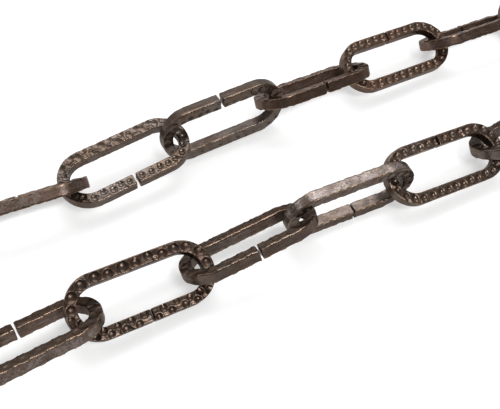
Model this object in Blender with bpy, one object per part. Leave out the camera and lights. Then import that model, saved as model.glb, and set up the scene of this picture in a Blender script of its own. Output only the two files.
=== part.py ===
"""Decorative chain: one length of hand-hammered square-bar chain, doubled
back on itself and laid on a level floor.

Every link is a long oval bent from square bar, left open where its two cut
ends meet in one long side.  Each link is hooked through the crown of the link
before it.  Units are metres, +Z is up, the floor is z = 0 and the two runs lie
along +X, with the bend at the +X end.
"""
import math

import bmesh
import bpy
from mathutils import Matrix, Vector

MM = 0.001

# Driving sizes of one link.
LINK_LENGTH = 51.0 * MM
LINK_WIDTH = 22.0 * MM
BAR = 4.0 * MM
CORNER = 0.35 * MM
CROWN_STEPS = 14

# Sizes that follow from them.
HALF_BAR = BAR / 2.0
EYE_LENGTH = LINK_LENGTH - 2.0 * BAR
CROWN_RADIUS = (LINK_WIDTH - BAR) / 2.0
HALF_STRAIGHT = (LINK_LENGTH - LINK_WIDTH) / 2.0

# Play left in a hook: the least play, more where the two bars cross at a
# slant, and more again where the chain turns a corner.
HOOK_PLAY = 1.7 * MM
SLANT_PLAY = 0.8 * MM
TURN_PLAY = 5.6 * MM

# The butt joint in a link's long side: the gap between the two cut ends and
# how far its middle lies from the middle of the side.
TIGHT = (0.5 * MM, 0.0)
MEDIUM = (0.8 * MM, 0.0)
WIDE = (1.2 * MM, 0.0)
OFF_CENTRE = (0.5 * MM, -2.4 * MM)

# The links in order, from one free end round the bend to the other.
# Heading: the way from the hook before the link to the hook after it, in
# degrees from +X.  Swing: how far the link lies askew of that, in degrees.
# Lean: how far its left-hand side is raised, in degrees.
# Ride and slack, in millimetres, are for the hook after the link: how far it
# rides above the links' own resting height, and its play beyond the least.
# Cut side: +1 where the butt joint is in the left-hand bar, -1 in the right.
LINKS = [
    # heading, swing, lean, ride, slack, cut side, butt joint
    (3, 0, -48, 0.0, 0.0, 1, MEDIUM),
    (-2, 0, 34, 0.0, 0.0, -1, TIGHT),
    (-5, 0, -48, 0.0, 0.3, 1, MEDIUM),
    (4, 0, 10, 0.0, 0.1, -1, WIDE),
    (0, 0, 82, 1.5, 0.3, 1, WIDE),
    (2, 0, -34, 2.5, 0.1, -1, WIDE),
    (0, 0, 23, 0.5, 0.0, 1, TIGHT),
    (-2, 0, -40, 0.0, 0.0, 1, MEDIUM),
    (-10, 0, 44, 0.0, 0.0, -1, TIGHT),
    (-77, 0, -40, 0.0, 0.0, 1, MEDIUM),
    (-140, 0, 46, 0.0, 0.0, 1, TIGHT),
    (-201, 0, -43, 2.5, 0.2, -1, WIDE),
    (-177, 0, 33, 1.5, 0.4, 1, TIGHT),
    (-182, 0, -27, 0.0, 0.2, -1, MEDIUM),
    (-183, 0, -93, 0.0, 1.1, 1, OFF_CENTRE),
    (-180, 0, 31, 0.0, 1.0, 1, MEDIUM),
    (-180, 0, -24, 3.5, 1.1, 1, TIGHT),
    (-171, -3, 26, 4.5, 0.1, -1, MEDIUM),
    (-184, 0, -45, 0.5, 0.0, 1, TIGHT),
    (-178, 0, 35, 0.0, 0.0, 1, MEDIUM),
    (-181, 0, -39, 0.0, 0.0, -1, TIGHT),
]

# Base colour, metallic and roughness of the finish.
OIL_RUBBED_BRONZE = ((0.060, 0.043, 0.034, 1.0), 0.85, 0.42)


def clear_scene():
    for old in list(bpy.data.objects):
        bpy.data.objects.remove(old, do_unlink=True)


def make_finish(name, finish):
    colour, metallic, roughness = finish
    material = bpy.data.materials.new(name)
    material.use_nodes = True
    shader = material.node_tree.nodes["Principled BSDF"]
    shader.inputs["Base Color"].default_value = colour
    shader.inputs["Metallic"].default_value = metallic
    shader.inputs["Roughness"].default_value = roughness
    return material


def faces_of(geometry):
    return [g for g in geometry if isinstance(g, bmesh.types.BMFace)]


def whole(lead):
    """A leading face with its edges and corners."""
    edges = list({e for face in lead for e in face.edges})
    corners = list({v for face in lead for v in face.verts})
    return corners + edges + lead


def draw_out(bm, lead, run):
    """Draw the bar straight on from its leading face."""
    grown = bmesh.ops.extrude_face_region(bm, geom=whole(lead))["geom"]
    corners = [g for g in grown if isinstance(g, bmesh.types.BMVert)]
    bmesh.ops.translate(bm, vec=(run, 0.0, 0.0), verts=corners)
    return faces_of(grown)


def bend_round(bm, lead, crown_x):
    """Bend the bar half a turn round a crown's centre."""
    grown = bmesh.ops.spin(
        bm,
        geom=whole(lead),
        cent=(crown_x, 0.0, 0.0),
        axis=(0.0, 0.0, 1.0),
        angle=-math.pi,
        steps=CROWN_STEPS,
    )
    return faces_of(grown["geom_last"])


def make_link_mesh(name, joint):
    """Square bar bent to a long oval in the XY plane, cut open in its +Y side."""
    gap, place = joint
    start = place + gap / 2.0
    finish = place - gap / 2.0
    bm = bmesh.new()
    corners = [
        bm.verts.new((start, CROWN_RADIUS + y * HALF_BAR, z * HALF_BAR))
        for y, z in ((-1, -1), (1, -1), (1, 1), (-1, 1))
    ]
    bm.faces.new(corners)
    bmesh.ops.bevel(
        bm,
        geom=corners,
        offset=CORNER,
        offset_type="OFFSET",
        segments=1,
        profile=0.5,
        affect="VERTICES",
        material=-1,
    )
    lead = list(bm.faces)
    lead = draw_out(bm, lead, HALF_STRAIGHT - start)
    lead = bend_round(bm, lead, HALF_STRAIGHT)
    lead = draw_out(bm, lead, -2.0 * HALF_STRAIGHT)
    lead = bend_round(bm, lead, -HALF_STRAIGHT)
    draw_out(bm, lead, HALF_STRAIGHT + finish)
    bmesh.ops.recalc_face_normals(bm, faces=bm.faces[:])
    for face in bm.faces:
        face.smooth = True
    mesh = bpy.data.meshes.new(name)
    bm.to_mesh(mesh)
    bm.free()
    mesh.set_sharp_from_angle(angle=math.radians(30.0))
    return mesh


def resting_height(lean):
    """Height of a link's centre line when its lower bar lies on the floor."""
    swing = abs(math.sin(math.radians(lean)))
    flat = abs(math.cos(math.radians(lean)))
    return CROWN_RADIUS * swing + HALF_BAR * (swing + flat)


def hook_heights():
    """A hook is as high as the higher of its two links at rest, plus its ride."""
    rests = [resting_height(lean) for _, _, lean, _, _, _, _ in LINKS]
    heights = [rests[0]]
    for before, after, link in zip(rests, rests[1:], LINKS):
        heights.append(max(before, after) + link[3] * MM)
    return heights + [rests[-1]]


def hook_plays():
    """The play in each hook, and none at the two free ends."""
    plays = [0.0]
    for one, other in zip(LINKS, LINKS[1:]):
        turn = 1.0 - math.cos(math.radians(other[0] - one[0]))
        slant = abs(math.cos(math.radians(other[2] - one[2])))
        plays.append(HOOK_PLAY + SLANT_PLAY * slant + TURN_PLAY * turn + one[4] * MM)
    return plays + [0.0]


def link_reaches():
    """How far each link's middle lies from the hook before it and after it."""
    plays = hook_plays()
    return [
        ((EYE_LENGTH - before) / 2.0, (EYE_LENGTH - after) / 2.0)
        for before, after in zip(plays, plays[1:])
    ]


def hook_points(reaches):
    """The chain's hooks, from the first free end to the last."""
    heights = hook_heights()
    here = Vector((0.0, 0.0, heights[0]))
    points = [here]
    for link, height, reach in zip(LINKS, heights[1:], reaches):
        way = math.radians(link[0])
        rise = height - here.z
        run = math.sqrt(sum(reach) ** 2 - rise**2)
        here = here + Vector((run * math.cos(way), run * math.sin(way), rise))
        points.append(here)
    return points


def link_pose(start, end, reach, swing, lean):
    """Turn a link so that it runs from one hook to the next and leans over."""
    straight = (end - start).normalized()
    middle = start + straight * reach
    along = Matrix.Rotation(math.radians(swing), 3, "Z") @ straight
    level = Vector((-along.y, along.x, 0.0)).normalized()
    raised = along.cross(level)
    tip = math.radians(lean)
    across = level * math.cos(tip) + raised * math.sin(tip)
    normal = along.cross(across)
    turn = Matrix((along, across, normal)).transposed().to_4x4()
    return Matrix.Translation(middle) @ turn


def build_chain():
    material = make_finish("oil_rubbed_bronze", OIL_RUBBED_BRONZE)
    meshes = {}
    for joint in (TIGHT, MEDIUM, WIDE, OFF_CENTRE):
        meshes[joint] = make_link_mesh("open_link", joint)
        meshes[joint].materials.append(material)
    reaches = link_reaches()
    points = hook_points(reaches)
    chain = []
    for index, (_, swing, lean, _, _, cut_side, joint) in enumerate(LINKS):
        link = bpy.data.objects.new("link_%02d" % (index + 1), meshes[joint])
        bpy.context.scene.collection.objects.link(link)
        turned = lean if cut_side > 0 else lean + 180
        start, end = points[index], points[index + 1]
        link.matrix_world = link_pose(start, end, reaches[index][0], swing, turned)
        chain.append(link)
    return chain


def set_down(chain):
    """Centre the chain over the origin with its lowest corner at z = 0."""
    corners = [link.matrix_world @ v.co for link in chain for v in link.data.vertices]
    low = Vector([min(c[i] for c in corners) for i in range(3)])
    high = Vector([max(c[i] for c in corners) for i in range(3)])
    shift = Vector((-(low.x + high.x) / 2.0, -(low.y + high.y) / 2.0, -low.z))
    for link in chain:
        link.matrix_world = Matrix.Translation(shift) @ link.matrix_world


clear_scene()
set_down(build_chain())
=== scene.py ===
"""A laid length of hammered bronze chain.

Its 21 oval links, each bent from square bar and left open at a butt joint, lie
on the floor in two runs joined by a bend.
"""

import math
import random
from collections import namedtuple

import bmesh
import bpy
import numpy as np
from bpy.props import FloatProperty, FloatVectorProperty, IntProperty, PointerProperty
from mathutils import Matrix, Vector


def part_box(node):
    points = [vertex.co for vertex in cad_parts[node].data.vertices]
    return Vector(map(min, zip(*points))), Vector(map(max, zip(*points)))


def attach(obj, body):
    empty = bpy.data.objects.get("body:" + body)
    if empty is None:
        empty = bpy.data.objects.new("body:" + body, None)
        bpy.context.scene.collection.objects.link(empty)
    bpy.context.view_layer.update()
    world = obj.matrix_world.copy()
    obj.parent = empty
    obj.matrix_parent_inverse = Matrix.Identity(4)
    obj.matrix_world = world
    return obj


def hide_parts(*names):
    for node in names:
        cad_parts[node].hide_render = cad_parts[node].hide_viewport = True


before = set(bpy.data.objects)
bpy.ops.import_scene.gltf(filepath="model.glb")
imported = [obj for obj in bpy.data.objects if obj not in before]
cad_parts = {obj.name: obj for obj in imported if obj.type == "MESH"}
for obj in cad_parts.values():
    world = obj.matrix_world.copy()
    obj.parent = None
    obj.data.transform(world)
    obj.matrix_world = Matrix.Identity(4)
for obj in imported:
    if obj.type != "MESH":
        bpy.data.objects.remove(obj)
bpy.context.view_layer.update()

bl_info = {
    "name": "Hammered Chain",
    "version": (1, 0, 0),
    "blender": (4, 5, 0),
    "location": "View3D > Sidebar > Chain",
    "description": "Forges a laid length of hammered chain and sets it on a pale studio floor",
    "category": "Add Mesh",
}

MM = 0.001

# The play that a hook keeps: the least, more where two links lie the same way,
# and more again where the chain turns.
HOOK_PLAY = 1.7 * MM
SLANT_PLAY = 0.8 * MM
TURN_PLAY = 5.6 * MM

# How a butt joint closes: the gap, and how far it lies from the middle of its side.
TIGHT = (0.5, 0.0)
MEDIUM = (0.8, 0.0)
WIDE = (1.2, 0.0)
OFF_CENTRE = (0.5, -2.4)

# How a link was hammered: pitch of the blows, radius and depth of a dent, and how far
# blows alternate off the middle, all in millimetres, and the share of corner blows.
Hammering = namedtuple("Hammering", "pitch radius depth drift corner_share")
ROUND = Hammering((4.3, 5.1), (1.5, 1.9), (0.42, 0.56), 0.15, 0.8)
FACETS = Hammering((2.2, 3.1), (1.3, 1.9), (0.30, 0.42), 0.80, 0.4)
PITS = Hammering((3.1, 3.8), (1.1, 1.4), (0.38, 0.50), 0.15, 0.6)
DOUBLE = Hammering((1.9, 2.6), (1.1, 1.5), (0.26, 0.38), 1.00, 0.3)
OVALS = Hammering((3.2, 4.0), (1.2, 1.6), (0.24, 0.36), 0.25, 0.7)
SOFT = Hammering((3.4, 4.8), (1.6, 2.3), (0.10, 0.22), 0.40, 0.9)
EDGED = Hammering((2.4, 3.2), (1.5, 2.1), (0.20, 0.32), 1.10, 0.5)

# The first blow's place along a face, and how far blows wander, in millimetres.
FIRST_BLOW = (0.5, 2.5)
WANDER = 0.35

# Lighter blows that catch a corner: their place across, in halves of the bar, their
# place along, in pitches, and their radius and depth in millimetres.
CORNER_ACROSS = (0.75, 1.05)
CORNER_ALONG = (0.3, 0.7)
CORNER_RADIUS = (0.8, 1.5)
CORNER_DEPTH = (0.08, 0.22)

# A dent, in its own radii: how far it reaches, and where its raised rim stands and how
# wide that is.  Then the power that rounds its bowl, the depth at which another dent
# has swallowed the rim, and the depth that the finish takes for a full hollow.
DENT_REACH = 1.6
RIM_PLACE = 1.12
RIM_WIDTH = 0.2
BOWL_POWER = 0.85
RIM_LOST = 0.06 * MM
FULL_HOLLOW = 0.45 * MM

# The waves in the bar's surfaces: how many, their pace along the bar and their slant
# across it in radians a metre, where they start, and their height on the broad faces.
WAVE_COUNT = 6
WAVE_PACE = (180, 900)
WAVE_SLANT = (-500, 500)
WAVE_START = (0, 6.28)
FACE_WAVES = 0.03 * MM

# How far a blow spreads the bar sideways, as a share of its depth, and how much less
# the crowns swell than the sides.
SPREAD = 0.25
CROWN_TAUTNESS = 0.6

# Where marks begin and where they are full, from the bar's middle line outwards, in
# halves of the bar: dents on a face, the spread of the sides, and the broad faces.
DENTED = (0.45, 0.95)
SPREAD_OUT = (0.4, 1.0)
BROAD = (0.5, 1.0)
# The same for a corner's wear, inwards from the bar's outside in corner roundings, for
# the side across from the cut, in lengths of the bar, and for a crown, in link widths.
CORNER_WEAR = (1.3, 0.1)
ACROSS_FROM_CUT = (0.3, 0.2)
INTO_CROWN = 0.3

# Painted shade in the crowns, where the next links hook through: on their broad faces and in the
# crook of the bend.
CROWN_SHADE = 0.3
CROOK_SHADE = 0.4
# How much of a link's pale scuffing is kept on the side that has the cut, which leaves that side
# darker.
PALE_KEPT_BY_CUT = 0.3

# Every link in turn.  Heading, swing and lean are in degrees, ride and slack in
# millimetres; the cut is on side +1 or -1; then the butt joint, the hammering on the
# side with the cut and on the side across from it, and three shares of the finish.
Link = namedtuple(
    "Link",
    "heading swing lean ride slack cut_side joint by_cut across_from_it warmth darkness scuffing",
)
LINKS = [
    Link(3, 0, -48, 0.0, 0.0, 1, MEDIUM, ROUND, ROUND, 0.4, 0.5, 0.2),
    Link(-2, 0, 34, 0.0, 0.0, -1, TIGHT, FACETS, FACETS, 0.6, 0.4, 0.3),
    Link(-5, 0, -48, 0.0, 0.3, 1, MEDIUM, SOFT, SOFT, 0.7, 0.4, 0.3),
    Link(4, 0, 10, 0.0, 0.1, -1, WIDE, PITS, FACETS, 0.2, 0.4, 0.2),
    Link(0, 0, 82, 1.5, 0.3, 1, WIDE, OVALS, OVALS, 0.2, 0.3, 0.3),
    Link(2, 0, -34, 2.5, 0.1, -1, WIDE, SOFT, SOFT, 0.9, 0.3, 0.2),
    Link(0, 0, 23, 0.5, 0.0, 1, TIGHT, PITS, PITS, 0.7, 0.4, 0.2),
    Link(-2, 0, -40, 0.0, 0.0, 1, MEDIUM, SOFT, SOFT, 0.8, 0.3, 0.2),
    Link(-10, 0, 44, 0.0, 0.0, -1, TIGHT, FACETS, FACETS, 0.6, 0.5, 0.2),
    Link(-77, 0, -40, 0.0, 0.0, 1, MEDIUM, ROUND, ROUND, 0.4, 0.4, 0.4),
    Link(-140, 0, 46, 0.0, 0.0, 1, TIGHT, DOUBLE, DOUBLE, 0.7, 0.5, 0.2),
    Link(-201, 0, -43, 2.5, 0.2, -1, WIDE, OVALS, OVALS, 0.3, 0.3, 0.5),
    Link(-177, 0, 33, 1.5, 0.4, 1, TIGHT, ROUND, ROUND, 0.2, 0.5, 0.3),
    Link(-182, 0, -27, 0.0, 0.2, -1, MEDIUM, PITS, PITS, 0.4, 0.4, 0.2),
    Link(-183, 0, -93, 0.0, 1.1, 1, OFF_CENTRE, OVALS, OVALS, 0.15, 0.3, 0.75),
    Link(-180, 0, 31, 0.0, 1.0, 1, MEDIUM, EDGED, OVALS, 0.4, 0.3, 0.3),
    Link(-180, 0, -24, 3.5, 1.1, 1, TIGHT, DOUBLE, ROUND, 0.7, 0.9, 0.1),
    Link(-171, -3, 26, 4.5, 0.1, -1, MEDIUM, SOFT, EDGED, 0.5, 0.4, 0.4),
    Link(-184, 0, -45, 0.5, 0.0, 1, TIGHT, ROUND, ROUND, 0.5, 0.5, 0.3),
    Link(-178, 0, 35, 0.0, 0.0, 1, MEDIUM, PITS, PITS, 0.6, 0.4, 0.2),
    Link(-181, 0, -39, 0.0, 0.0, -1, TIGHT, ROUND, ROUND, 0.3, 0.6, 0.4),
]

PLACE_TOLERANCE = 0.5 * MM


def length(name, text, value, low=0.0):
    return FloatProperty(
        name=name, description=text, default=value, min=low, subtype="DISTANCE", unit="LENGTH"
    )


def colour(name, text, value):
    return FloatVectorProperty(
        name=name, description=text, default=value, size=4, min=0.0, max=1.0, subtype="COLOR"
    )


def amount(name, text, value, high=1.0):
    return FloatProperty(
        name=name, description=text, default=value, min=0.0, max=high, subtype="FACTOR"
    )


def power(name, text, value):
    return FloatProperty(name=name, description=text, default=value, unit="POWER")


class ChainSizes(bpy.types.PropertyGroup):
    """The sizes of one link"""

    link_length: length("Link length", "Length of a link over all", 51 * MM)
    link_width: length("Link width", "Width of a link over all", 22 * MM)
    bar: length("Bar", "Side of the square bar that a link is bent from", 4 * MM)
    corner: length("Corner", "Rounding along the corners of the bar", 0.36 * MM)
    cut_edge: length("Cut edge", "Rounding round the cut ends of the bar", 0.28 * MM)
    cell: length("Cell", "Size of the mesh's cells along the bar", 0.38 * MM, 0.1 * MM)


class HammerMarks(bpy.types.PropertyGroup):
    """The marks that the hammer leaves"""

    depth: amount("Depth", "Depth of the dents, as a share of the full blow", 1.0, 2.0)
    rim: length("Rim", "Metal that a blow raises round its dent", 0.12 * MM)
    swell: length("Swell", "How far hammering swells the bar on every side", 0.12 * MM)
    waviness: length("Waviness", "Unevenness of the bar's sides", 0.05 * MM)
    seed: IntProperty(name="Seed", description="Another number gives another hammering", default=7)


class BronzeFinish(bpy.types.PropertyGroup):
    """The colours of the oil-rubbed finish"""

    # The deep colour also paints the shade in the crowns, where the next links hook through.
    deep: colour("Deep", "Oil left in the hollows", (0.010, 0.007, 0.005, 1))
    brown: colour("Brown", "Main brown of the finish", (0.095, 0.065, 0.047, 1))
    mauve: colour("Mauve", "Greyer links and patches of the finish", (0.125, 0.100, 0.086, 1))
    red: colour("Red", "Redder links and patches of the finish", (0.122, 0.070, 0.048, 1))
    pale: colour("Pale", "Metal showing where the sides are scratched", (0.34, 0.29, 0.275, 1))
    copper: colour("Copper", "Metal showing along rubbed corners", (0.38, 0.26, 0.18, 1))
    edge_on: colour("Edge on", "Sheen of the finish seen edge on", (0.34, 0.30, 0.28, 1))


class StudioSetup(bpy.types.PropertyGroup):
    """The floor, lights and camera round the chain"""

    floor: colour("Floor", "Colour of the floor", (0.62, 0.62, 0.62, 1))
    glow: amount("Glow", "Light that the floor gives off itself", 0.49, 4.0)
    sky_front: amount("Sky in front", "Strength of the light from the viewer's side", 0.14, 4.0)
    sky_back: amount("Sky behind", "Strength of the light from above and behind", 0.63, 4.0)
    key: power("Key", "Power of the light behind", 5.6)
    glint: power("Glint", "Power of the light over the viewer", 4.2)
    fill: power("Fill", "Power of the light at the left", 1.2)


# Where the parts of a link lie along and across its bar.


def oval(sizes):
    """Half of a straight side, and the radius of a crown, both to the middle of the bar."""
    return (sizes.link_length - sizes.link_width) / 2, (sizes.link_width - sizes.bar) / 2


def along_and_across(points, sizes, place):
    """For points of a flat link: how far along, off and above the bar's middle, and the way out."""
    straight, crown = oval(sizes)
    x, y, z = points.T
    beyond = np.clip(np.abs(x) - straight, 0.0, None) * np.sign(x)
    reach = np.hypot(beyond, y)
    out = np.stack([beyond / reach, y / reach, np.zeros_like(y)], axis=1)
    turn = np.arctan2(np.abs(beyond), y)
    crown_run = crown * math.pi
    side = 2 * straight
    along = np.where(
        np.abs(x) > straight,
        np.where(
            x > 0,
            straight + crown * turn,
            straight + crown_run + side + crown * (math.pi - turn),
        ),
        np.where(
            y > 0,
            np.where(x > place, x, 2 * crown_run + 2 * side + x),
            straight + crown_run + (straight - x),
        ),
    )
    return along - place, reach - crown, z, out


def lengthwise(bm, lead, steps, **sweep):
    """Carries the bar's outline on by a number of steps, straight or round a crown."""
    moved = bmesh.ops.spin(bm, geom=lead, steps=steps, **sweep)
    return [part for part in moved["geom_last"] if not isinstance(part, bmesh.types.BMFace)]


def bar_outline(bm, sizes, start):
    """The square outline of the bar with rounded corners, standing at the start of the bar."""
    half = sizes.bar / 2
    upright = Matrix.Rotation(math.pi / 2, 4, "Y") @ Matrix.Rotation(math.pi / 4, 4, "Z")
    made = bmesh.ops.create_circle(
        bm,
        cap_ends=True,
        radius=half * math.sqrt(2),
        segments=4,
        matrix=Matrix.Translation(start) @ upright,
    )
    bmesh.ops.bevel(
        bm,
        geom=made["verts"],
        offset=sizes.corner,
        affect="VERTICES",
        segments=3,
        profile=0.5,
        material=-1,
    )
    bmesh.ops.delete(bm, geom=list(bm.faces), context="FACES_ONLY")
    sides = [edge for edge in bm.edges if edge.calc_length() > half]
    cuts = max(1, round((sizes.bar - 2 * sizes.corner) / sizes.cell) - 1)
    bmesh.ops.subdivide_edges(bm, edges=sides, cuts=cuts)
    return list(bm.verts) + list(bm.edges)


def bend_link(sizes, gap, place):
    """One flat link: the bar runs from one side of its cut round both crowns to the other side."""
    straight, crown = oval(sizes)
    bm = bmesh.new()
    lead = bar_outline(bm, sizes, Vector((place + gap / 2, crown, 0)))
    first = [part for part in lead if isinstance(part, bmesh.types.BMEdge)]
    runs = [straight - place - gap / 2, -2 * straight, straight + place - gap / 2]
    for number, run in enumerate(runs):
        steps = max(2, round(abs(run) / sizes.cell))
        lead = lengthwise(
            bm, lead, steps, cent=(0, 0, 0), axis=(0, 0, 1), dvec=(run / steps, 0, 0), angle=0.0
        )
        if number < len(runs) - 1:
            middle = (straight if number == 0 else -straight, 0, 0)
            bends = round(math.pi * crown / sizes.cell)
            lead = lengthwise(
                bm, lead, bends, cent=middle, axis=(0, 0, 1), dvec=(0, 0, 0), angle=-math.pi
            )
    last = [part for part in lead if isinstance(part, bmesh.types.BMEdge)]
    bmesh.ops.holes_fill(bm, edges=first + last, sides=0)
    ends = [edge for edge in bm.edges if any(len(face.verts) > 4 for face in edge.link_faces)]
    bmesh.ops.bevel(
        bm, geom=ends, offset=sizes.cut_edge, affect="EDGES", segments=2, profile=0.5, material=-1
    )
    bmesh.ops.recalc_face_normals(bm, faces=bm.faces)
    return bm


# Hammering.


def smooth(values, low, high):
    """Rises softly from 0 at the low value to 1 at the high one."""
    step = np.clip((values - low) / (high - low), 0.0, 1.0)
    return step * step * (3 - 2 * step)


def through(values, band, unit):
    """How far the values have come through a band that is given in units."""
    begin, full = band
    return smooth(values, begin * unit, full * unit)


def strike_bar(chance, by_cut, across_from_it, run, half):
    """Blows along one broad face, each as its place along and across, its radius and its depth."""
    blows = []
    at = chance.uniform(*FIRST_BLOW) * MM
    side = chance.choice((-1, 1))
    while at < run:
        style = across_from_it if abs(at - run / 2) < run / 4 else by_cut
        side = -side
        off = (side * style.drift + chance.uniform(-WANDER, WANDER)) * MM
        radius = chance.uniform(*style.radius) * MM
        blows.append((at, off, radius, chance.uniform(*style.depth) * MM))
        if chance.random() < style.corner_share:
            off = -side * chance.uniform(*CORNER_ACROSS) * half
            ahead = chance.uniform(*CORNER_ALONG) * style.pitch[0] * MM
            radius = chance.uniform(*CORNER_RADIUS) * MM
            blows.append((at + ahead, off, radius, chance.uniform(*CORNER_DEPTH) * MM))
        at += chance.uniform(*style.pitch) * MM
    return blows


def hammered(along, across, blows, rim):
    """How far the hammered face stands above the plain one, at each point."""
    sunk = np.zeros_like(along)
    raised = np.zeros_like(along)
    for at, off, radius, depth in blows:
        near = np.abs(along - at) < DENT_REACH * radius
        share = np.hypot(along[near] - at, across[near] - off) / radius
        bowl = -depth * np.clip(1 - share**2, 0.0, None) ** BOWL_POWER
        ring = rim * np.exp(-(((share - RIM_PLACE) / RIM_WIDTH) ** 2))
        sunk[near] = np.minimum(sunk[near], bowl)
        raised[near] = np.maximum(raised[near], ring)
    return sunk + raised * smooth(-sunk, RIM_LOST, 0.0)


def waves(chance, along, around, size):
    """A gentle unevenness from a few waves of different lengths."""
    total = np.zeros_like(along)
    for _ in range(WAVE_COUNT):
        pace = chance.uniform(*WAVE_PACE)
        slant = chance.uniform(*WAVE_SLANT)
        total += np.sin(along * pace + around * slant + chance.uniform(*WAVE_START)) / WAVE_COUNT
    return size * total


def hammer_link(mesh, sizes, marks, place, link, chance):
    """Dents the two broad faces, waves the sides, and notes on the mesh what the finish follows."""
    count = len(mesh.vertices)
    points = np.empty(count * 3)
    mesh.vertices.foreach_get("co", points)
    points = points.reshape(-1, 3)
    along, across, up, out = along_and_across(points, sizes, place)
    half = sizes.bar / 2
    run = along.max()
    lift = np.zeros(count)
    for face in (1, -1):
        blows = strike_bar(chance, link.by_cut, link.across_from_it, run, half)
        lift += through(face * up, DENTED, half) * hammered(along, across, blows, marks.rim)
    lift *= marks.depth
    straight = oval(sizes)[0]
    bent = smooth(np.abs(points[:, 0]), straight, straight + INTO_CROWN * sizes.link_width)
    swell = marks.swell * (1.0 - CROWN_TAUTNESS * bent)
    spread = waves(chance, along, up, marks.waviness) + swell - SPREAD * np.minimum(lift, 0.0)
    spread *= through(np.abs(across), SPREAD_OUT, half)
    broad = through(np.abs(up), BROAD, half)
    raised = lift + (waves(chance, along, across, FACE_WAVES) + swell) * broad
    points[:, 2] += np.sign(up) * raised
    points += out * (np.sign(across) * spread)[:, None]
    mesh.vertices.foreach_set("co", points.ravel())
    out_both_ways = np.minimum(np.abs(up), np.abs(across))
    begin, full = (half - inwards * sizes.corner for inwards in CORNER_WEAR)
    corner = smooth(out_both_ways, begin, full)
    crook = through(-across, SPREAD_OUT, half)
    far_from_cut = through(np.abs(along - run / 2), ACROSS_FROM_CUT, run)
    bar = mesh.attributes.new("bar", "FLOAT_VECTOR", "POINT")
    on_bar = np.stack([along, across, up], axis=1)
    bar.data.foreach_set("vector", on_bar.astype(np.float32).ravel())
    notes = {
        "corner": corner,
        "hollow": -lift / FULL_HOLLOW,
        "broad": broad,
        "warmth": np.full(count, link.warmth),
        # Each link's own darker tone, plus painted shade in its crowns where the next links hook
        # through.
        "darkness": link.darkness + bent * (CROWN_SHADE * broad + CROOK_SHADE * crook),
        # Less pale scuffing on the side with the cut, which leaves that side darker.
        "scuffing": link.scuffing * (PALE_KEPT_BY_CUT + (1 - PALE_KEPT_BY_CUT) * far_from_cut),
    }
    for name, values in notes.items():
        layer = mesh.attributes.new(name, "FLOAT", "POINT")
        layer.data.foreach_set("value", values.astype(np.float32))


# Laying the chain down: where each hook lies, and how each link leans between two hooks.


def resting_height(lean, sizes):
    """Height of a link's middle when it rests on the floor, leaning about its own length."""
    upright = abs(math.sin(math.radians(lean)))
    flat = abs(math.cos(math.radians(lean)))
    return oval(sizes)[1] * upright + sizes.bar / 2 * (upright + flat)


def hook_heights(sizes):
    """A hook lies as high as the higher of its two links at rest, plus its ride."""
    rests = [resting_height(link.lean, sizes) for link in LINKS]
    between = [
        max(one, other) + link.ride * MM for one, other, link in zip(rests, rests[1:], LINKS)
    ]
    return [rests[0], *between, rests[-1]]


def hook_plays():
    """The play in each hook, and none at the two free ends."""
    plays = [0.0]
    for one, other in zip(LINKS, LINKS[1:]):
        turn = 1.0 - math.cos(math.radians(other.heading - one.heading))
        slant = abs(math.cos(math.radians(other.lean - one.lean)))
        plays.append(HOOK_PLAY + SLANT_PLAY * slant + TURN_PLAY * turn + one.slack * MM)
    return [*plays, 0.0]


def link_places(sizes):
    """The turn and place of each link, one after the other from the first hook."""
    eye = sizes.link_length - 2 * sizes.bar
    plays = hook_plays()
    heights = hook_heights(sizes)
    here = Vector((0.0, 0.0, heights[0]))
    places = []
    for number, link in enumerate(LINKS):
        before = (eye - plays[number]) / 2
        after = (eye - plays[number + 1]) / 2
        rise = heights[number + 1] - here.z
        reach = math.sqrt((before + after) ** 2 - rise**2)
        way = math.radians(link.heading)
        there = here + Vector((reach * math.cos(way), reach * math.sin(way), rise))
        straight = (there - here).normalized()
        middle = here + straight * before
        along = Matrix.Rotation(math.radians(link.swing), 3, "Z") @ straight
        level = Vector((-along.y, along.x, 0.0)).normalized()
        raised = along.cross(level)
        tip = math.radians(link.lean if link.cut_side > 0 else link.lean + 180)
        across = level * math.cos(tip) + raised * math.sin(tip)
        turn = Matrix((along, across, along.cross(across))).transposed().to_4x4()
        places.append(Matrix.Translation(middle) @ turn)
        here = there
    return places


def carry_to_frame(places):
    """Moves the chain so that the point midway between its end links is where the frame has it."""
    first, last = (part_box(name) for name in ("link_01", "link_21"))
    goal = (first[0] + first[1] + last[0] + last[1]) / 4
    have = (places[0].translation + places[-1].translation) / 2
    shift = Matrix.Translation(goal - have)
    return [shift @ place for place in places]


def settle(mesh, place, node):
    """Carries a finished link to its place and flattens what would sink into the floor."""
    mesh.transform(place)
    points = np.empty(len(mesh.vertices) * 3)
    mesh.vertices.foreach_get("co", points)
    points = points.reshape(-1, 3)
    points[:, 2] = np.maximum(points[:, 2], 0.0)
    mesh.vertices.foreach_set("co", points.ravel())
    low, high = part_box(node)
    off = max(np.abs(points.min(axis=0) - low).max(), np.abs(points.max(axis=0) - high).max())
    if off > PLACE_TOLERANCE:
        raise RuntimeError(f"{node} lies {off / MM:.2f} mm off the frame's place")


# The finish.

# The mottle's noises: scale, detail, roughness, and the values where it starts and is full.
MOTTLE = {
    "Clouds": (70, 3, 0.55, 0.35, 0.65),
    "Patches": (420, 4, 0.6, 0.40, 0.66),
    "Specks": (2100, 3, 0.65, 0.50, 0.72),
}

# How much oil the hollows, specks and patches take, how dark the darkest links and the
# painted shade in the crowns go, and how much warmer the clouds are.
HOLLOW_OIL = 0.15
SPECK_OIL = 0.35
PATCH_OIL = 0.25
DARK_LINKS_AND_CROWN_SHADE = 0.6
CLOUD_WARMTH = 0.4

# How bare the nicks, the rubbed corners and the dents' rims are.
BARE_NICKS = 0.14
BARE_CORNERS = 0.42
BARE_RIMS = 0.07

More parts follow.
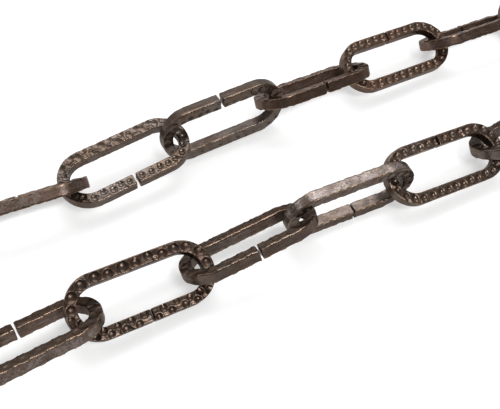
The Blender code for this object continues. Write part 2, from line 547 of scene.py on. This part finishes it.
# Roughness between the oil's patches and in them, and how sides and rubbed metal differ.
ROUGHNESS = (0.21, 0.35)
SIDES_ROUGHER = 0.10
RUBBED_SMOOTHER = 0.10

# Heights of the fine relief, as shares of its depth.
RELIEF_DEPTH = 0.08 * MM
PATCH_HEIGHT = 0.5
SPECK_HEIGHT = -0.25
SCRATCH_HEIGHT = -0.8
NICK_HEIGHT = -0.5


def add(tree, kind, **settings):
    node = tree.nodes.new(kind)
    for name, value in settings.items():
        setattr(node, name, value)
    return node


def join(tree, source, target):
    tree.links.new(source, target)


def new_group(name, inputs, outputs):
    """A node group with inputs, as (name, type, value), and outputs, as (name, type)."""
    group = bpy.data.node_groups.new(name, "ShaderNodeTree")
    for label, kind, value in inputs:
        socket = group.interface.new_socket(label, in_out="INPUT", socket_type=kind)
        if value is not None:
            socket.default_value = value
    for label, kind in outputs:
        group.interface.new_socket(label, in_out="OUTPUT", socket_type=kind)
    return group, add(group, "NodeGroupInput"), add(group, "NodeGroupOutput")


def noise_of(tree, vector, scale, detail, roughness=0.55):
    node = add(tree, "ShaderNodeTexNoise")
    node.inputs["Scale"].default_value = scale
    node.inputs["Detail"].default_value = detail
    node.inputs["Roughness"].default_value = roughness
    join(tree, vector, node.inputs["Vector"])
    return node.outputs["Fac"]


def ramp_of(tree, value, low, high, to_low=0.0, to_high=1.0):
    node = add(tree, "ShaderNodeMapRange", interpolation_type="SMOOTHSTEP")
    join(tree, value, node.inputs["Value"])
    limits = {"From Min": low, "From Max": high, "To Min": to_low, "To Max": to_high}
    for name, number in limits.items():
        node.inputs[name].default_value = number
    return node.outputs["Result"]


def maths_of(tree, operation, one, other):
    node = add(tree, "ShaderNodeMath", operation=operation)
    for socket, value in zip(node.inputs, (one, other)):
        if isinstance(value, (int, float)):
            socket.default_value = value
        else:
            join(tree, value, socket)
    return node.outputs[0]


def times(tree, one, other):
    return maths_of(tree, "MULTIPLY", one, other)


def plus(tree, one, other):
    return maths_of(tree, "ADD", one, other)


def larger_of(tree, one, other):
    return maths_of(tree, "MAXIMUM", one, other)


def mix_of(tree, share, one, other):
    node = add(tree, "ShaderNodeMix", data_type="RGBA")
    for socket, value in zip((node.inputs[0], node.inputs[6], node.inputs[7]), (share, one, other)):
        if hasattr(value, "is_output"):
            join(tree, value, socket)
        else:
            socket.default_value = value
    return node.outputs[2]


def oil_mottle():
    """Soft patches where the oil took more or less, from broad clouds down to fine specks."""
    group, given, made = new_group(
        "oil_mottle",
        [("Vector", "NodeSocketVector", None)],
        [(name, "NodeSocketFloat") for name in (*MOTTLE, "Scuffs")],
    )
    place = given.outputs["Vector"]
    grainy = times(group, noise_of(group, place, 240, 3), noise_of(group, place, 1500, 3, 0.7))
    join(group, ramp_of(group, grainy, 0.20, 0.33), made.inputs["Scuffs"])
    for name, (scale, detail, roughness, low, high) in MOTTLE.items():
        noise = noise_of(group, place, scale, detail, roughness)
        join(group, ramp_of(group, noise, low, high), made.inputs[name])
    return group


def drawn_scratches():
    """Fine scratches that run along the bar, and a few that cross it."""
    group, given, made = new_group(
        "drawn_scratches",
        [("Bar", "NodeSocketVector", None)],
        [("Scratches", "NodeSocketFloat"), ("Nicks", "NodeSocketFloat")],
    )
    stretched = add(group, "ShaderNodeMapping")
    stretched.inputs["Scale"].default_value = (90, 2400, 2400)
    join(group, given.outputs["Bar"], stretched.inputs["Vector"])
    fine = noise_of(group, stretched.outputs["Vector"], 1.0, 3, 0.6)
    slanted = add(group, "ShaderNodeMapping")
    slanted.inputs["Scale"].default_value = (1100, 260, 260)
    slanted.inputs["Rotation"].default_value = (0.2, 0.5, 0.6)
    join(group, given.outputs["Bar"], slanted.inputs["Vector"])
    crossing = noise_of(group, slanted.outputs["Vector"], 1.0, 2, 0.5)
    join(group, ramp_of(group, fine, 0.52, 0.74), made.inputs["Scratches"])
    join(group, ramp_of(group, crossing, 0.63, 0.76), made.inputs["Nicks"])
    return group


def rubbed_corners():
    """Where hands and other links rubbed the oil off the corners and rims."""
    group, given, made = new_group(
        "rubbed_corners",
        [
            ("Vector", "NodeSocketVector", None),
            ("Corner", "NodeSocketFloat", 0.0),
            ("Rims", "NodeSocketFloat", 0.0),
        ],
        [("Rubbed", "NodeSocketFloat")],
    )
    broken = ramp_of(group, noise_of(group, given.outputs["Vector"], 260, 5, 0.65), 0.34, 0.56)
    corners = times(group, given.outputs["Corner"], broken)
    grains = ramp_of(group, noise_of(group, given.outputs["Vector"], 900, 4, 0.7), 0.48, 0.66)
    rims = times(group, given.outputs["Rims"], grains)
    join(group, larger_of(group, corners, rims), made.inputs["Rubbed"])
    return group


def attribute_of(tree, name):
    return add(tree, "ShaderNodeAttribute", attribute_name=name)


def placed_group(tree, group, **sources):
    node = add(tree, "ShaderNodeGroup")
    node.node_tree = group
    for name, source in sources.items():
        join(tree, source, node.inputs[name])
    return node.outputs


def oil_rubbed_bronze(finish):
    """Brown bronze with oil in its hollows, grey and red patches, scratches, rubbed corners and
    painted shade in the crowns.
    """
    material = bpy.data.materials.new("oil_rubbed_bronze_finish")
    material.use_nodes = True
    tree = material.node_tree
    shader = tree.nodes["Principled BSDF"]
    place = add(tree, "ShaderNodeTexCoord").outputs["Object"]
    corner = attribute_of(tree, "corner").outputs["Fac"]
    hollow = attribute_of(tree, "hollow").outputs["Fac"]
    broad = attribute_of(tree, "broad").outputs["Fac"]
    mottle = placed_group(tree, oil_mottle(), Vector=place)
    bar = attribute_of(tree, "bar").outputs["Vector"]
    scratches = placed_group(tree, drawn_scratches(), Bar=bar)
    rim = ramp_of(tree, hollow, 0.30, 0.02)
    rim = times(tree, rim, times(tree, broad, BARE_RIMS))
    rubbed = placed_group(tree, rubbed_corners(), Vector=place, Corner=corner, Rims=rim)["Rubbed"]
    smooth_side = ramp_of(tree, broad, 0.6, 0.1)
    warmth = attribute_of(tree, "warmth").outputs["Fac"]
    darkness = attribute_of(tree, "darkness").outputs["Fac"]

    warm = plus(tree, warmth, times(tree, mottle["Clouds"], CLOUD_WARMTH))
    grey = ramp_of(tree, warm, 0.65, 0.15)
    redness = ramp_of(tree, warm, 0.55, 1.3)
    base = mix_of(tree, grey, tuple(finish.brown), tuple(finish.mauve))
    base = mix_of(tree, redness, base, tuple(finish.red))
    sunk = ramp_of(tree, hollow, 0.35, 0.95, 0.0, HOLLOW_OIL)
    oil_and_crown_shade = larger_of(tree, sunk, times(tree, mottle["Specks"], SPECK_OIL))
    oil_and_crown_shade = larger_of(tree, oil_and_crown_shade, times(tree, mottle["Patches"], PATCH_OIL))
    # Each link's darker tone, and painted shade in its crowns where the next links hook through.
    oil_and_crown_shade = larger_of(tree, oil_and_crown_shade, ramp_of(tree, darkness, 0.35, 1.0, 0.0, DARK_LINKS_AND_CROWN_SHADE))
    base = mix_of(tree, oil_and_crown_shade, base, tuple(finish.deep))
    lines = times(tree, scratches["Scratches"], smooth_side)
    scuffing = attribute_of(tree, "scuffing").outputs["Fac"]
    scuffs = times(tree, times(tree, mottle["Scuffs"], scuffing), smooth_side)
    share = larger_of(tree, ramp_of(tree, mottle["Clouds"], 0.2, 0.9, 0.2, 0.7), scuffing)
    worn = times(tree, lines, share)
    worn = larger_of(tree, worn, scuffs)
    base = mix_of(tree, worn, base, tuple(finish.pale))
    base = mix_of(tree, times(tree, scratches["Nicks"], BARE_NICKS), base, tuple(finish.pale))
    base = mix_of(tree, times(tree, rubbed, BARE_CORNERS), base, tuple(finish.copper))
    join(tree, base, shader.inputs["Base Color"])

    rough = ramp_of(tree, mottle["Patches"], 0.0, 1.0, *ROUGHNESS)
    rough = plus(tree, rough, times(tree, smooth_side, SIDES_ROUGHER))
    rough = maths_of(tree, "SUBTRACT", rough, times(tree, rubbed, RUBBED_SMOOTHER))
    join(tree, rough, shader.inputs["Roughness"])
    shader.inputs["Metallic"].default_value = 0.8
    shader.inputs["Specular Tint"].default_value = tuple(finish.edge_on)
    shader.inputs["Coat Weight"].default_value = 0.18
    shader.inputs["Coat Roughness"].default_value = 0.22

    height = times(tree, mottle["Patches"], PATCH_HEIGHT)
    height = plus(tree, height, times(tree, mottle["Specks"], SPECK_HEIGHT))
    height = plus(tree, height, times(tree, lines, SCRATCH_HEIGHT))
    height = plus(tree, height, times(tree, scratches["Nicks"], NICK_HEIGHT))
    bump = add(tree, "ShaderNodeBump")
    bump.inputs["Strength"].default_value = 0.5
    bump.inputs["Distance"].default_value = RELIEF_DEPTH
    join(tree, height, bump.inputs["Height"])
    join(tree, bump.outputs["Normal"], shader.inputs["Normal"])
    return material


class CHAIN_OT_links(bpy.types.Operator):
    """Forge the links, hammer them and lay them down as one chain"""

    bl_idname = "chain.links"
    bl_label = "Forge the Links"

    def execute(self, context):
        scene = context.scene
        sizes = scene.chain_sizes
        material = oil_rubbed_bronze(scene.chain_finish)
        places = carry_to_frame(link_places(sizes))
        for number, (link, place) in enumerate(zip(LINKS, places), start=1):
            gap, offset = (value * MM for value in link.joint)
            node = f"link_{number:02d}"
            mesh = bpy.data.meshes.new(f"hammered_{node}")
            bm = bend_link(sizes, gap, offset)
            bm.to_mesh(mesh)
            bm.free()
            chance = random.Random(scene.chain_marks.seed * 1000 + number)
            hammer_link(mesh, sizes, scene.chain_marks, offset, link, chance)
            settle(mesh, place, node)
            mesh.shade_smooth()
            mesh.materials.append(material)
            piece = bpy.data.objects.new(f"hammered_{node}", mesh)
            scene.collection.objects.link(piece)
            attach(piece, "root")
            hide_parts(node)
        return {"FINISHED"}


# The studio.  BACK points away from the viewer, SIDE to the viewer's left.

FLOOR_SIZE = 6.0
LENS = 52.38
SENSOR = 36.0
CAMERA_STAND = Vector((-0.06318, -0.14109, 0.21493))
CAMERA_TARGET = Vector((0.01691, -0.00082, 0.0))
CAMERA_ROLL = 2.02
BACK = Vector((0.504, 0.864, 0.0))
SIDE = Vector((-0.864, 0.504, 0.0))
UP = Vector((0.0, 0.0, 1.0))

# The lights: name, the setting of its power, size and place.
LIGHTS = (
    ("key_behind", "key", (0.9, 0.45), BACK * 0.55 + UP * 0.95),
    ("glint_right", "glint", (0.3, 0.3), -BACK * 0.4 - SIDE * 0.45 + UP * 0.8),
    ("fill_left", "fill", (0.4, 0.4), SIDE * 0.8 + UP * 0.7),
)


def white_floor(finish_colour, glow):
    mesh = bpy.data.meshes.new("studio_floor")
    bm = bmesh.new()
    bmesh.ops.create_grid(bm, x_segments=1, y_segments=1, size=FLOOR_SIZE / 2)
    bm.to_mesh(mesh)
    bm.free()
    material = bpy.data.materials.new("pale_floor")
    material.use_nodes = True
    shader = material.node_tree.nodes["Principled BSDF"]
    shader.inputs["Base Color"].default_value = finish_colour
    shader.inputs["Roughness"].default_value = 0.9
    shader.inputs["Specular IOR Level"].default_value = 0.1
    shader.inputs["Emission Color"].default_value = (1.0, 1.0, 1.0, 1.0)
    shader.inputs["Emission Strength"].default_value = glow
    mesh.materials.append(material)
    floor = bpy.data.objects.new("studio_floor", mesh)
    bpy.context.scene.collection.objects.link(floor)


def soft_light(name, watts, size, stand):
    """A soft rectangle of light that looks at the middle of the chain."""
    light = bpy.data.lights.new(name, "AREA")
    light.energy = watts
    light.shape = "RECTANGLE"
    light.size, light.size_y = size
    holder = bpy.data.objects.new(name, light)
    holder.location = stand
    holder.rotation_euler = (-stand).to_track_quat("-Z", "Y").to_euler()
    bpy.context.scene.collection.objects.link(holder)


def graded_sky(front, back):
    """Light from all round, weaker from the viewer's side than from behind."""
    world = bpy.data.worlds.new("studio_sky")
    world.use_nodes = True
    tree = world.node_tree
    way = add(tree, "ShaderNodeVectorMath", operation="DOT_PRODUCT")
    way.inputs[1].default_value = (BACK + UP).normalized()
    join(tree, add(tree, "ShaderNodeTexCoord").outputs["Generated"], way.inputs[0])
    background = tree.nodes["Background"]
    background.inputs["Color"].default_value = (1.0, 1.0, 1.0, 1.0)
    strength = ramp_of(tree, way.outputs["Value"], 0.0, 0.9, front, back)
    join(tree, strength, background.inputs["Strength"])
    bpy.context.scene.world = world


def photo_camera():
    camera = bpy.data.cameras.new("studio_camera")
    camera.sensor_fit = "HORIZONTAL"
    camera.sensor_width = SENSOR
    camera.lens = LENS
    camera.clip_start = 0.01
    camera.clip_end = 20.0
    holder = bpy.data.objects.new("studio_camera", camera)
    aim = (CAMERA_TARGET - CAMERA_STAND).to_track_quat("-Z", "Y").to_matrix().to_4x4()
    roll = Matrix.Rotation(math.radians(CAMERA_ROLL), 4, "Z")
    holder.matrix_world = Matrix.Translation(CAMERA_STAND) @ aim @ roll
    bpy.context.scene.collection.objects.link(holder)
    bpy.context.scene.camera = holder


class CHAIN_OT_stage(bpy.types.Operator):
    """Lay the pale floor, hang the soft lights and stand the camera at the photo's angle"""

    bl_idname = "chain.stage"
    bl_label = "Set the Stage"

    def execute(self, context):
        studio = context.scene.chain_studio
        white_floor(tuple(studio.floor), studio.glow)
        graded_sky(studio.sky_front, studio.sky_back)
        for name, setting, size, stand in LIGHTS:
            soft_light(name, getattr(studio, setting), size, stand)
        photo_camera()
        context.scene.view_settings.view_transform = "Standard"
        return {"FINISHED"}


class CHAIN_PT_panel(bpy.types.Panel):
    """Sizes, hammering, finish and studio of the chain"""

    bl_label = "Hammered Chain"
    bl_idname = "CHAIN_PT_panel"
    bl_space_type = "VIEW_3D"
    bl_region_type = "UI"
    bl_category = "Chain"

    def draw(self, context):
        for group, label in GROUPS:
            box = self.layout.box()
            box.label(text=label)
            settings = getattr(context.scene, group)
            for name in settings.__annotations__:
                box.prop(settings, name)
        for operator in OPERATORS:
            self.layout.operator(operator.bl_idname)


GROUPS = (
    ("chain_sizes", "Link"),
    ("chain_marks", "Hammering"),
    ("chain_finish", "Finish"),
    ("chain_studio", "Studio"),
)
SETTINGS = (ChainSizes, HammerMarks, BronzeFinish, StudioSetup)
OPERATORS = (CHAIN_OT_links, CHAIN_OT_stage)
CLASSES = (*SETTINGS, *OPERATORS, CHAIN_PT_panel)


def register():
    for one in CLASSES:
        bpy.utils.register_class(one)
    for (name, _), kind in zip(GROUPS, SETTINGS):
        setattr(bpy.types.Scene, name, PointerProperty(type=kind))


def unregister():
    for name, _ in GROUPS:
        delattr(bpy.types.Scene, name)
    for one in reversed(CLASSES):
        bpy.utils.unregister_class(one)


def main():
    register()
    bpy.ops.chain.links()
    bpy.ops.chain.stage()


if __name__ == "__main__":
    main()
